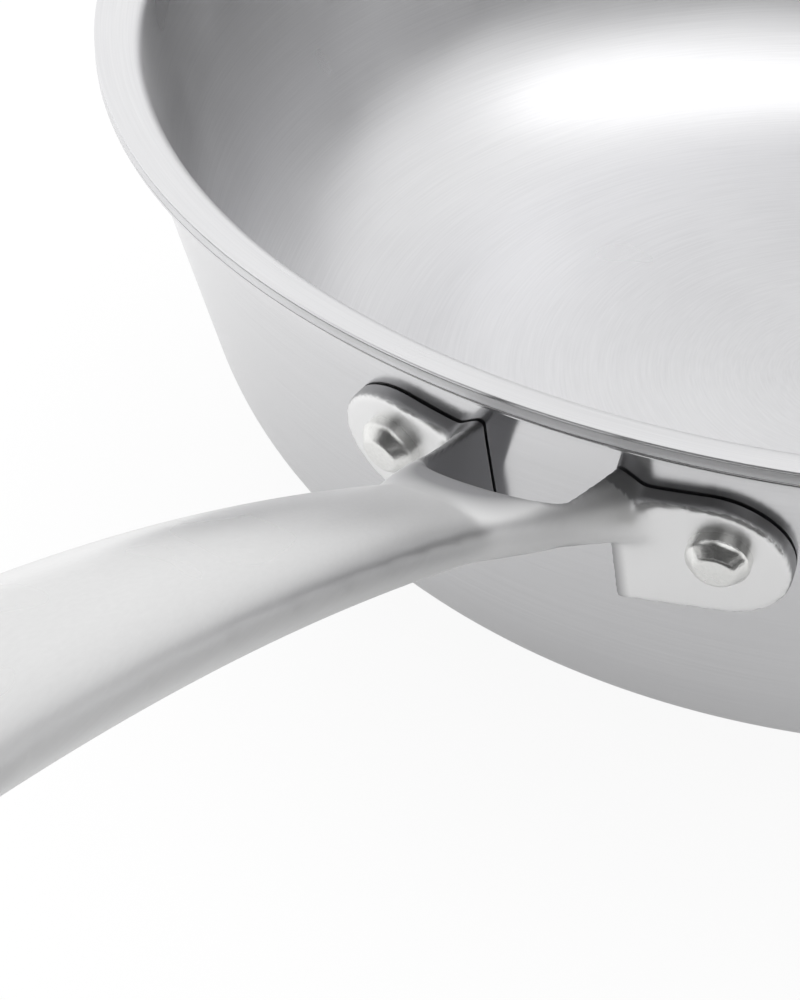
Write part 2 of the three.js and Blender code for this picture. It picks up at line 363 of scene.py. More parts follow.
def map_range(tree: Nodes, value: Socket, before: Span, after: Span, curve: str = "LINEAR") -> Socket:
    """Add a node that maps a value from one range to another.

    Args:
        tree: the tree that gets the node.
        value: the value.
        before: the range that it has.
        after: the range that it gets.
        curve: Blender's name of the curve between them.

    Returns:
        The new value.
    """
    node = tree.nodes.new("ShaderNodeMapRange")
    node.interpolation_type = curve
    tree.links.new(value, node.inputs["Value"])
    for label, number in zip(("From Min", "From Max", "To Min", "To Max"), (*before, *after)):
        node.inputs[label].default_value = number
    return node.outputs["Result"]


@dataclass
class Bowl:
    """The bowl: three bonded layers with a rounded corner, a flared wall and a trimmed lip."""

    rim_radius: float = 125 * MM
    height: float = 73 * MM
    wall_flare: float = math.radians(15)
    neck_flare: float = math.radians(4)
    lip_lean: float = math.radians(78)
    corner_radius: float = 37 * MM
    neck_radius: float = 45 * MM
    lip_bend_radius: float = 3.5 * MM
    lip_width: float = 4.5 * MM
    outer_ply: float = 0.45 * MM
    core_ply: float = 1.3 * MM
    inner_ply: float = 0.45 * MM
    bond_line: float = 0.05 * MM
    edge_rounding: float = 0.12 * MM
    segments: int = 256
    corner_steps: int = 28
    neck_steps: int = 8
    bend_steps: int = 14
    pieces: dict[str, Piece] = field(default_factory=dict)

    def __post_init__(self) -> None:
        """Work out the profile's centres from the lip, as the solids do."""
        flare, neck, lean = self.wall_flare, self.neck_flare, self.lip_lean
        self.wall = self.outer_ply + self.core_ply + self.inner_ply + 2 * self.bond_line
        self.bend_outside = self.lip_bend_radius - self.wall
        rise = (
            self.height
            - self.corner_radius * (1 - math.sin(flare))
            - self.neck_radius * (math.sin(flare) - math.sin(neck))
            + self.bend_outside * math.sin(neck)
            - self.lip_bend_radius * math.sin(lean)
            - self.lip_width * math.cos(lean)
        )
        length = rise / math.cos(flare)
        base_radius = (
            self.rim_radius
            - self.corner_radius * math.cos(flare)
            - length * math.sin(flare)
            - self.neck_radius * (math.cos(neck) - math.cos(flare))
            - self.bend_outside * math.cos(neck)
            + self.lip_bend_radius * math.cos(lean)
            - self.lip_width * math.sin(lean)
        )
        outward = Vector((math.cos(flare), -math.sin(flare)))
        upward = Vector((math.sin(flare), math.cos(flare)))
        neckward = Vector((math.cos(neck), -math.sin(neck)))
        self.corner_centre = Vector((base_radius, self.corner_radius))
        self.wall_end = self.corner_centre + outward * self.corner_radius + upward * length
        self.neck_centre = self.wall_end - outward * self.neck_radius
        self.lip_centre = self.neck_centre + neckward * (self.neck_radius + self.bend_outside)

    def surface(self, depth: float) -> Outline:
        """Draw the outline of one surface of the bowl.

        Args:
            depth: how far it lies under the outside face.

        Returns:
            Points from the axis to the lip's edge.
        """
        flare, neck, lean = self.wall_flare, self.neck_flare, self.lip_lean
        turn = (math.pi - neck, math.pi - lean)
        bend = arc(self.lip_centre, self.bend_outside + depth, *turn, self.bend_steps)
        edge = Vector((self.rim_radius, bend[-1].y + (self.rim_radius - bend[-1].x) / math.tan(lean)))
        return [
            Vector((0, depth)),
            *arc(self.corner_centre, self.corner_radius - depth, -math.pi / 2, -flare, self.corner_steps),
            *arc(self.neck_centre, self.neck_radius - depth, -flare, -neck, self.neck_steps),
            *bend[1:],
            edge,
        ]

    def wall_radius(self, height: float) -> float:
        """Radius of the straight wall's outside face at a height."""
        return self.wall_end.x + (height - self.wall_end.y) * math.tan(self.wall_flare)

    def seat(self, clearance: float) -> Piece:
        """A solid that fills the bowl and stands a clearance out from it, to cut what lies on the wall."""
        outline = [*self.surface(-clearance), Vector((0, self.height))]
        return spin_solid("bowl_seat", outline, 2 * self.segments)

    def layer(self, name: str, depth: float, ply: float) -> Piece:
        """Build one layer with a rounded edge at the lip.

        Args:
            name: the new piece's name.
            depth: the layer's outside face under the bowl's outside face.
            ply: the layer's thickness.

        Returns:
            The layer as a closed solid.
        """
        below, above = self.surface(depth), self.surface(depth + ply)
        low_edge = rounded(below[-2], below[-1], above[-1], self.edge_rounding)
        high_edge = rounded(below[-1], above[-1], above[-2], self.edge_rounding)
        return spin_solid(name, [*below[:-1], *low_edge, *high_edge, *reversed(above[:-1])], self.segments)

    def build(self, drills: Callable[[], list[Piece]]) -> None:
        """Build the three layers and drill them for the rivets.

        Args:
            drills: makes a new set of the solids that cut the rivet holes.
        """
        inner_depth = self.wall - self.inner_ply
        sizes = {
            "outer_shell": (0.0, self.outer_ply),
            "core": (self.outer_ply + self.bond_line, self.core_ply),
            "inner_shell": (inner_depth, self.inner_ply),
        }
        for node, (depth, ply) in sizes.items():
            piece = self.layer("bowl_" + node, depth, ply)
            cut(piece, drills())
            shade(piece)
            self.pieces[node] = piece

    def dress(self, workshop: "Workshop") -> None:
        """Give each layer its finish.

        Args:
            workshop: makes the finishes.
        """
        workshop.finish(self.pieces["outer_shell"], SATIN, "outer_shell", "satin_steel")
        workshop.finish(self.pieces["core"], CORE, "core", "core_aluminium")
        workshop.finish(self.pieces["inner_shell"], INSIDE, "inner_shell", "brushed_steel_inside")


@dataclass
class Rivets:
    """The two rivets, square to the wall on both sides of the handle."""

    bowl: Bowl
    azimuth: float = math.radians(11.2)
    drop: float = 17.6 * MM
    shank: float = 5 * MM
    head: float = 8.4 * MM
    face: float = 5.2 * MM
    head_height: float = 3 * MM
    chamfer: float = 1.7 * MM
    worn_edge: float = 0.45 * MM
    tail: float = 10 * MM
    tail_height: float = 1.6 * MM
    fit: float = 0.3 * MM
    pad_thickness: float = 2.1 * MM
    segments: int = 96
    tail_steps: int = 8
    edge_steps: int = 6
    drill_segments: int = 48
    pieces: dict[str, Piece] = field(default_factory=dict)

    def __post_init__(self) -> None:
        """Work out where the axes meet the wall."""
        self.height = self.bowl.height - self.drop
        self.radius = self.bowl.wall_radius(self.height)

    def place(self, side: int) -> Matrix:
        """Work out the frame of one rivet.

        Args:
            side: 1 for the right rivet and -1 for the left one.

        Returns:
            Its frame on the wall's outside face: x along the rim, y up the wall and z out of it.
        """
        turn, flare = side * self.azimuth, self.bowl.wall_flare
        radial = Vector((math.cos(turn), math.sin(turn), 0))
        along = Vector((-math.sin(turn), math.cos(turn), 0))
        up = Vector((0, 0, 1))
        climb = radial * math.sin(flare) + up * math.cos(flare)
        outward = radial * math.cos(flare) - up * math.sin(flare)
        turned = Matrix((along, climb, outward)).transposed().to_4x4()
        return Matrix.Translation(radial * self.radius + up * self.height) @ turned

    def drills(self) -> list[Piece]:
        """Make the solids that cut the rivet holes.

        Returns:
            One cylinder for each rivet.
        """
        radius, reach = self.shank / 2 + self.fit, self.head + self.tail
        solids = []
        for side in SIDES:
            deselect_all()
            bpy.ops.mesh.primitive_cylinder_add(vertices=self.drill_segments, radius=radius, depth=reach)
            solids.append(settle(bpy.context.object, self.place(side)))
        return solids

    def outline(self) -> Outline:
        """Draw half the section of a rivet.

        Returns:
            Points from the inside head's middle to the outside one's, with height 0 on the wall's face.
        """
        seat = self.pad_thickness + self.fit
        top = seat + self.fit + self.head_height
        reach = max(0.0, self.height + self.tail / 2 - self.bowl.wall_end.y)
        sag = self.bowl.neck_radius - math.sqrt(self.bowl.neck_radius**2 - reach**2)
        under = -self.bowl.wall - self.fit - sag
        tail_round = Vector((self.tail / 2 - self.tail_height, under))
        foot, side = Vector((self.head / 2, seat)), Vector((self.head / 2, top - self.chamfer))
        face, middle = Vector((self.face / 2, top)), Vector((0, top))
        return [
            Vector((0, under - self.tail_height)),
            *arc(tail_round, self.tail_height, -math.pi / 2, 0, self.tail_steps),
            Vector((self.shank / 2, under)),
            Vector((self.shank / 2, seat)),
            foot,
            *rounded(foot, side, face, self.worn_edge, self.edge_steps),
            *rounded(side, face, middle, self.worn_edge, self.edge_steps),
            middle,
        ]

    def build(self) -> None:
        """Turn the rivets and set them in the wall."""
        for node, side in zip(("rivet_left", "rivet_right"), SIDES):
            piece = spin_solid("set_" + node, self.outline(), self.segments)
            settle(piece, self.place(side))
            shade(piece)
            self.pieces[node] = piece

    def dress(self, workshop: "Workshop") -> None:
        """Give both rivets their finish."""
        for node, piece in self.pieces.items():
            workshop.finish(piece, RIVET, node, "rivet_steel")


@dataclass(frozen=True)
class ShadePainting:
    """Painted shade and painted dark reflections on the handle, where 0 is none and 1 is the darkest; the
    handle is also rougher there.

    A turn gives the two shares of a normal, along one direction, between which the painted shade grows.

    Attributes:
        arm_turn: the arms' inside faces, towards the gap.
        crotch_turn: the crotch's face, towards the gap.
        crotch_shade: the darkest painted shade that the top above the crotch gets.
        crotch_gain: how fast it gets there.
        crotch_fade: how far from the gap that reaches.
        edge_shade: the painted shade along the gap's edge.
        edge_fade: how far from the gap that reaches.
        waist_shade: the painted dark reflection on the outside of the arms and the grip.
        waist_turn: where it begins below the top, upwards.
        under_turn: where the underside ends, upwards.
        under_share: the underside's share of that painted reflection.
        pad_shade: the painted shade on the sides of the pads.
        pad_turn: where they begin, out of the wall.
        blast_fade: how far past the crotch the blasted surface reaches.
    """

    arm_turn: Span = (0.45, 0.95)
    crotch_turn: Span = (0.5667, 0.9)
    crotch_shade: float = 0.9
    crotch_gain: float = 2.0
    crotch_fade: float = 11 * MM
    edge_shade: float = 0.85
    edge_fade: float = 1.8 * MM
    waist_shade: float = 0.43
    waist_turn: Span = (0.92, 0.52)
    under_turn: Span = (-0.3, 0.4)
    under_share: float = 0.55
    pad_shade: float = 0.75
    pad_turn: Span = (0.8, 0.4)
    blast_fade: float = 25.5 * MM


@dataclass
class Handle:
    """The cast handle: a rising grip that forks into two arms with riveted pads."""

    bowl: Bowl
    rivets: Rivets
    pad_outer_reach: float = 8.8 * MM
    pad_inner_reach: float = 16.4 * MM
    pad_rise: float = 8 * MM
    pad_fall: float = 12.3 * MM
    pad_tilt: float = math.radians(7)
    pad_edge: float = 0.3 * MM
    fork_gap: float = 18.4 * MM
    crotch_reach: float = 140.5 * MM
    crotch_radius: float = 9 * MM
    crotch_depth: float = 8.5 * MM
    crotch_roll: float = 4.5 * MM
    arm_roll: float = 0.9 * MM
    roll_length: float = 9 * MM
    arm_overlap: float = 7 * MM
    arm_height: float = 14.4 * MM
    arm_crown: float = 0.7
    arm_squareness: float = 2.3
    arm_drop: float = 7.4 * MM
    arm_fall: float = 1.06
    arm_shoulder: Span = (141 * MM, 10.6 * MM)
    arm_turn: float = 5 * MM
    arm_fillet: float = 1 * MM
    reach: float = field(default_factory=lambda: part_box("handle")[1][0])
    root_rise: float = 0.5 * MM
    root_slope: float = math.radians(29.5)
    root_pull: float = 53 * MM
    tip_rise: float = 50.5 * MM
    tip_slope: float = math.radians(4)
    tip_pull: float = 60 * MM
    root_width: float = 16 * MM
    tip_width: float = 24 * MM
    root_thickness: float = 8.6 * MM
    tip_thickness: float = 13.6 * MM
    tip_bluntness: float = 0.4
    rise_share: float = 0.28
    crown_share: float = 0.42
    grip_squareness: float = 2.1
    slot_length: float = 18 * MM
    slot_width: float = 8 * MM
    slot_margin: float = 7 * MM
    ring_points: int = 160
    grip_stations: int = 60
    tip_stations: int = 16
    arm_stations: int = 60
    voxel: float = 0.42 * MM
    fairing: int = 8
    grip_fairing: int = 110
    foot_fairing: int = 60
    fairing_step: float = 0.5
    foot_reach: float = 7 * MM
    foot_inset: float = 5 / 3 * MM
    foot_fade: float = 1 * MM
    crotch_steps: int = 16
    slot_segments: int = 64
    pad_steps: int = 24
    pad_edge_steps: int = 4
    # Painted shade and painted dark reflections on the handle.
    shade_painting: ShadePainting = ShadePainting()
    piece: Piece | None = None

    def __post_init__(self) -> None:
        """Lay the grip's middle line and the arm's outer line."""
        start = Vector((self.crotch_reach + self.crotch_depth, self.bowl.height + self.root_rise))
        end = Vector((self.reach - self.tip_width / 2, self.bowl.height + self.tip_rise))
        climb = Vector((math.cos(self.root_slope), math.sin(self.root_slope)))
        level = Vector((math.cos(self.tip_slope), math.sin(self.tip_slope)))
        bends = (start, start + climb * self.root_pull, end - level * self.tip_pull, end)
        self.grip_line = [p.to_2d() for p in interpolate_bezier(*bends, self.grip_stations + 1)]
        side = Vector((start.x, self.root_width / 2))
        foot = self.pad_point(self.arm_overlap, self.rivets.pad_thickness - self.pad_edge)
        turn = self.pad_point(self.arm_overlap - self.arm_turn, self.rivets.pad_thickness + self.arm_fillet)
        bends = (side, Vector(self.arm_shoulder), turn, foot)
        self.arm_line = [p.to_2d() for p in interpolate_bezier(*bends, self.arm_stations + 1)]

    def pad_point(self, along: float, out: float) -> Vector:
        """Find a point of the right pad, seen from above.

        Args:
            along: its distance past the gap's side.
            out: its distance out from the wall's outside face at the rivet.

        Returns:
            The point's x and y.
        """
        turn = self.rivets.azimuth
        face = Vector((math.cos(turn), math.sin(turn))) * (self.rivets.radius + out)
        tangent = Vector((-math.sin(turn), math.cos(turn)))
        return face + tangent * ((self.fork_gap / 2 + along - face.y) / tangent.y)

    def section(
        self, reach: float, half_width: float, heights: tuple[float, float, float], squareness: float
    ) -> Outline:
        """A closed section of the casting, square to x.

        Args:
            reach: the section's distance from the pan's axis.
            half_width: half its width.
            heights: of its top, its widest line and its bottom.
            squareness: 2 is an ellipse, higher is boxier.

        Returns:
            Points from the top over one side to the bottom and back.
        """
        top, waist, bottom = heights
        power = 2 / squareness
        ring = []
        for i in range(self.ring_points):
            angle = math.pi / 2 - math.tau * i / self.ring_points
            across = math.copysign(abs(math.cos(angle)) ** power, math.cos(angle))
            along = abs(math.sin(angle)) ** power
            level = top if math.sin(angle) > 0 else bottom
            ring.append(Vector((reach, half_width * across, waist + (level - waist) * along)))
        return ring

    def grip_size(self, station: int) -> Span:
        """Work out the size of the grip at a station.

        Args:
            station: the station's number, from the fork.

        Returns:
            Half the grip's width, and its upright thickness.
        """
        widening = 1 - (1 - station / self.grip_stations) ** 2
        width = self.root_width + (self.tip_width - self.root_width) * widening
        thickness = self.root_thickness + (self.tip_thickness - self.root_thickness) * widening
        line = self.grip_line
        run = line[min(station + 1, len(line) - 1)] - line[max(station - 1, 0)]
        return width / 2, thickness * run.length / run.x

    def grip_ring(self, centre: Vector, half_width: float, thickness: float) -> Outline:
        """Draw a section of the grip.

        Args:
            centre: a point of the grip's middle line.
            half_width: half the section's width.
            thickness: its upright thickness.

        Returns:
            Points of the closed section.
        """
        top = centre.y + thickness * self.rise_share
        waist = top - thickness * self.crown_share
        return self.section(centre.x, half_width, (top, waist, top - thickness), self.grip_squareness)

    def grip_rings(self) -> list[Outline]:
        """Draw the grip's sections.

        Returns:
            Sections from the fork to the rounded tip.
        """
        rings = [self.grip_ring(point, *self.grip_size(i)) for i, point in enumerate(self.grip_line)]
        half_width, thickness = self.grip_size(self.grip_stations)
        end = self.grip_line[-1]
        for i in range(1, self.tip_stations):
            turn = math.pi / 2 * i / self.tip_stations
            forward = self.tip_width / 2 * math.sin(turn)
            narrowing = math.cos(turn)
            centre = end + Vector((forward, forward * math.tan(self.tip_slope)))
            blunt = thickness * narrowing**self.tip_bluntness
            rings.append(self.grip_ring(centre, half_width * narrowing, blunt))
        return rings

    def fork_rings(self) -> list[Outline]:
        """Draw the sections of the fork's blank, with both arms in one.

        Returns:
            Sections from inside the wall to the grip.
        """
        start, foot = self.arm_line[0], self.arm_line[-1]
        thickness = self.grip_size(0)[1]
        root_top = self.grip_line[0].y + thickness * self.rise_share
        arm_top = self.bowl.height - self.arm_drop
        buried = Vector((self.pad_point(self.arm_overlap, -self.bowl.wall).x, foot.y))
        rings = []
        for outer in (buried, *reversed(self.arm_line[1:])):
            share = min(1.0, (start.x - outer.x) / (start.x - foot.x))
            top = root_top + (arm_top - root_top) * share**self.arm_fall
            bottom = root_top - thickness + (arm_top - self.arm_height - root_top + thickness) * share
            crown = self.crown_share + (self.arm_crown - self.crown_share) * share
            waist = bottom + (top - bottom) * (1 - crown)
            squareness = self.grip_squareness + (self.arm_squareness - self.grip_squareness) * share
            ring = self.section(outer.x, outer.y, (top, waist, bottom), squareness)
            for point in ring:
                if point.z > waist:
                    point.z = max(waist, point.z - self.roll(point))
            rings.append(ring)
        return rings

    def off_gap(self, point: Vector) -> float:
        """Measure how far a point lies from the fork's gap, seen from above.

        Args:
            point: a point of the casting.

        Returns:
            The distance, or 0 inside the gap.
        """
        corner = Vector((self.crotch_reach, self.fork_gap / 2)) - Vector([self.crotch_radius] * 2)
        beyond = Vector((max(0.0, point.x - corner.x), max(0.0, abs(point.y) - corner.y)))
        return max(0.0, beyond.length - self.crotch_radius)

    def by_crotch(self, point: Vector) -> float:
        """How near a point lies to the crotch, from 0 on the arms to 1 between them."""
        near = min(1.0, max(0.0, 1 - (self.crotch_reach - point.x) / self.roll_length))
        return near * near * (3 - 2 * near) * max(0.0, 1 - (2 * point.y / self.fork_gap) ** 2)

    def roll(self, point: Vector) -> float:
        """Work out how far the top rolls over into the fork's gap.

        Args:
            point: a point of the top.

        Returns:
            How far the top lies lower there.
        """
        radius = self.arm_roll + (self.crotch_roll - self.arm_roll) * self.by_crotch(point)
        inward = max(0.0, radius - self.off_gap(point))
        return radius - math.sqrt(radius**2 - inward**2)

    def draw_on(self, piece: Piece, stations: list[Outline]) -> None:
        """Extrude the selected loop from station to station.

        Args:
            piece: the object in edit mode, with the first station's loop selected.
            stations: points of the loop at each station, in the same order.
        """
        for before, after in zip(stations, stations[1:]):
            bpy.ops.mesh.extrude_region_move(TRANSFORM_OT_translate={"value": (0, 0, 0)})
            moved = {tuple(old): new for old, new in zip(before, after)}
            for vert in bmesh.from_edit_mesh(piece.data).verts:
                if vert.select:
                    vert.co = moved[tuple(vert.co)]
            bmesh.update_edit_mesh(piece.data)

    def casting(self) -> Piece:
        """Draw the fork's blank and the grip from one loop, and close both ends.

        Returns:
            A closed solid.
        """
        rings = [*self.fork_rings(), *self.grip_rings()]
        deselect_all()
        bpy.ops.mesh.primitive_circle_add(vertices=self.ring_points, radius=self.root_width)
        piece = bpy.context.object
        piece.name = "cast_handle"
        bpy.ops.object.mode_set(mode="EDIT")
        mesh = bmesh.from_edit_mesh(piece.data)
        for vert, point in zip(mesh.verts, rings[0]):
            vert.co = point
        bmesh.update_edit_mesh(piece.data)
        bpy.ops.mesh.select_mode(type="EDGE")
        bpy.ops.mesh.select_all(action="SELECT")
        self.draw_on(piece, rings)
        bpy.ops.mesh.edge_face_add()
        first = {tuple(point) for point in rings[0]}
        choose(piece, "EDGE", lambda place: tuple(place) in first)
        bpy.ops.mesh.edge_face_add()
        turn_outwards(piece)
        return piece

    def gap_cutter(self) -> Piece:
        """Make the solid that parts the fork's two arms.

        Returns:
            A block with round corners at the crotch.
        """
        deselect_all()
        size = (self.crotch_reach, self.fork_gap, 2 * self.bowl.height)
        bpy.ops.mesh.primitive_cube_add(size=1, location=(self.crotch_reach / 2, 0, self.bowl.height))
        piece = bpy.context.object
        piece.scale = size
        settle(piece)
        bpy.ops.object.mode_set(mode="EDIT")
        choose(piece, "EDGE", lambda place: place.x > self.crotch_reach - WELD)
        bpy.ops.mesh.bevel(affect="EDGES", offset=self.crotch_radius, segments=self.crotch_steps)
        bpy.ops.object.mode_set(mode="OBJECT")
        return piece

    def slot_cutter(self) -> Piece:
        """Make the solid that cuts the hanging slot.

        Returns:
            A bar with round ends, square to the grip at its tip.
        """
        deselect_all()
        straight = self.slot_length - self.slot_width
        radius, through = self.slot_width / 2, 4 * self.tip_thickness
        bpy.ops.mesh.primitive_cylinder_add(vertices=self.slot_segments, radius=radius, depth=through)
        piece = bpy.context.object
        bpy.ops.object.mode_set(mode="EDIT")
        bpy.ops.mesh.bisect(plane_co=(0, 0, 0), plane_no=(1, 0, 0))
        for end in (-1, 1):
            choose(piece, "VERT", lambda place: place.x * end > WELD)
            bpy.ops.transform.translate(value=(end * straight / 2, 0, 0))
        bpy.ops.object.mode_set(mode="OBJECT")
        middle = self.reach - self.slot_margin - self.slot_length / 2
        place = Matrix.Translation((middle, 0, self.grip_line[-1].y))
        return settle(piece, place @ Matrix.Rotation(-self.tip_slope, 4, "Y"))

    def pad(self, side: int) -> Piece:
        """Build one pad as a plate with a round end and a bevelled front.

        Args:
            side: 1 for the right pad and -1 for the left one.

        Returns:
            The pad, reaching into the wall behind it and trimmed by the fork's gap.
        """
        width, height = self.pad_outer_reach + self.pad_inner_reach, self.pad_rise + self.pad_fall
        back = self.bowl.wall + self.rivets.pad_thickness
        front = self.rivets.fit + self.rivets.pad_thickness
        across, upward = self.pad_outer_reach - self.pad_inner_reach, self.pad_rise - self.pad_fall
        deselect_all()
        bpy.ops.mesh.primitive_plane_add(size=1, location=(across / 2, upward / 2, -back))
        piece = bpy.context.object
        piece.scale = (width, height, 1)
        settle(piece)
        bpy.ops.object.mode_set(mode="EDIT")
        choose(piece, "VERT", lambda place: place.x > 0)
        bpy.ops.mesh.bevel(affect="VERTICES", offset=height / 2 - WELD, segments=self.pad_steps)
        bpy.ops.mesh.select_all(action="SELECT")
        bpy.ops.mesh.remove_doubles(threshold=2 * WELD)
        bpy.ops.mesh.extrude_region_move(TRANSFORM_OT_translate={"value": (0, 0, back + front)})
        choose(piece, "EDGE", lambda place: place.z > front - WELD)
        bpy.ops.mesh.bevel(affect="EDGES", offset=self.pad_edge, segments=self.pad_edge_steps)
        bpy.ops.object.mode_set(mode="OBJECT")
        settle(piece, Matrix.Rotation(self.pad_tilt, 4, "Z"))
        settle(piece, self.rivets.place(1))
        if side < 0:
            settle(piece, Matrix.Scale(-1, 4, (0, 1, 0)))
        turn_outwards(piece)
        cut(piece, [self.gap_cutter()])
        return piece

    def fair(self, piece: Piece, weight: Callable[[Vector], float], rounds: int) -> None:
        """Smooth one part of the casting more than the rest.

        Args:
            piece: the casting.
            weight: gives a place's share of the smoothing, which counts from 0 to 1.
            rounds: how often the surface is smoothed.
        """
        group = piece.vertex_groups.new(name="faired")
        for vert in piece.data.vertices:
            share = weight(vert.co)
            if share > 0:
                group.add([vert.index], min(1.0, share), "REPLACE")
        apply_modifier(piece, "SMOOTH", factor=self.fairing_step, iterations=rounds, vertex_group=group.name)
        piece.vertex_groups.clear()

    def grip_weight(self, place: Vector) -> float:
        """How far a place lies into the grip."""
        return (place.x - self.crotch_reach) / self.crotch_depth

    def foot_weight(self, place: Vector) -> float:
        """Work out how near a place lies to where an arm's outside face runs into its pad.

        Args:
            place: a point of the casting.

        Returns:
            1 or more within half the reach, and 0 or less outside it or near an edge of the pad.
        """
        foot = self.pad_point(self.arm_overlap - self.arm_turn / 2, self.rivets.pad_thickness)
        away = (Vector((place.x, abs(place.y))) - foot).length
        top = self.rivets.height + self.pad_rise - self.foot_inset
        bottom = self.bowl.height - self.arm_drop - self.arm_height - self.arm_turn
        within = min(abs(place.y) - self.fork_gap / 2 - self.arm_roll, top - place.z, place.z - bottom)
        return min(2 - 2 * away / self.foot_reach, within / self.foot_fade)

    def build(self) -> None:
        """Join the casting and its pads, fair them into one and fit them to the wall."""
        piece = self.casting()
        cut(piece, [self.slot_cutter(), self.gap_cutter()])
        pads = [self.pad(-1), self.pad(1)]
        pick(piece)
        for pad in pads:
            pad.select_set(True)
        bpy.ops.object.join()
        apply_modifier(piece, "REMESH", mode="VOXEL", voxel_size=self.voxel)
        apply_modifier(piece, "SMOOTH", factor=self.fairing_step, iterations=self.fairing)
        self.fair(piece, self.grip_weight, self.grip_fairing)
        self.fair(piece, self.foot_weight, self.foot_fairing)
        cut(piece, [self.bowl.seat(self.rivets.fit), *self.rivets.drills()])
        shade(piece)
        self.mark(piece)
        self.piece = piece

    def gap_shading(self, place: Vector, normal: Vector) -> float:
        """Work out the painted shade and painted dark reflections on the gap's faces, its edge and the top
        above the crotch.

        Args:
            place: a point of the casting.
            normal: the direction of its surface.

        Returns:
            A share that counts from 0 to 1.
        """
        shade_painting, off = self.shade_painting, self.off_gap(place)
        # Painted shade: along the gap's edge, on the top above the crotch and on the faces that look into
        # the gap.
        crotch = shade_painting.crotch_gain * self.by_crotch(place) * (1 - off / shade_painting.crotch_fade)
        edge = shade_painting.edge_shade * (1 - off / shade_painting.edge_fade)
        shade_share = max(edge, min(shade_painting.crotch_shade, crotch))
        beside = abs(place.y) < self.fork_gap / 2 + 2 * self.voxel
        if beside and place.x < self.crotch_reach + self.voxel:
            inward = -normal.y if place.y > 0 else normal.y
            shade_share = max(shade_share, ramp(inward, *shade_painting.arm_turn), ramp(-normal.x, *shade_painting.crotch_turn))
        return shade_share

    def waist_shading(self, place: Vector, normal: Vector) -> float:
        """Work out the painted dark reflection on the outside of the arms and the grip, weaker on the
        underside.

        Args:
            place: a point of the casting.
            normal: the direction of its surface.

        Returns:
            A share from 0 to 1.
        """
        shade_painting, wall = self.shade_painting, self.rivets.radius
        # Painted dark reflection, by how far the surface turns from facing up.
        off_pad = ramp(place.x, wall, wall + 2 * self.roll_length)
        upper = ramp(normal.z, *shade_painting.under_turn)
        share = shade_painting.under_share + (1 - shade_painting.under_share) * upper
        return shade_painting.waist_shade * off_pad * ramp(normal.z, *shade_painting.waist_turn) * share

    def pad_shading(self, place: Vector, normal: Vector, seat: Matrix) -> float:
        """Work out the painted shade on the sides of the pads.

        Args:
            place: a point of the casting.
            normal: the direction of its surface.
            seat: the frame of the rivet on the same side.

        Returns:
            A share from 0 to 1.
        """
        outward = seat.col[2].xyz
        front = self.rivets.fit + self.rivets.pad_thickness + self.voxel / 2
        if (place - seat.translation).dot(outward) >= front:
            return 0.0
        return min(self.shade_painting.pad_shade, ramp(normal.dot(outward), *self.shade_painting.pad_turn))

    def mark(self, piece: Piece) -> None:
        """Mark the painted shade and painted dark reflections in red, the blasted surface in green and the
        blasted surface off the pads in blue.

        Args:
            piece: the finished casting.
        """
        marks = piece.data.color_attributes.new(SHADE_AND_BLAST_MARKS, "FLOAT_COLOR", "POINT")
        seats = {side: self.rivets.place(side) for side in SIDES}
        wall, crotch = self.rivets.radius, self.crotch_reach
        for vert, mark in zip(piece.data.vertices, marks.data):
            place, normal = vert.co, vert.normal
            seat = seats[1 if place.y > 0 else -1]
            # Red: the strongest of the painted shade and painted dark reflections.
            painted_shade = max(
                self.gap_shading(place, normal),
                self.waist_shading(place, normal),
                self.pad_shading(place, normal, seat),
            )
            blasted = ramp(place.x, crotch + self.shade_painting.blast_fade, crotch)
            off_pad = ramp(place.x, wall, wall + self.roll_length)
            mark.color = (painted_shade, blasted, blasted * off_pad, 1)

    def dress(self, workshop: "Workshop") -> None:
        """Give the handle its finish."""
        workshop.finish(self.piece, CAST, "handle", "cast_steel")


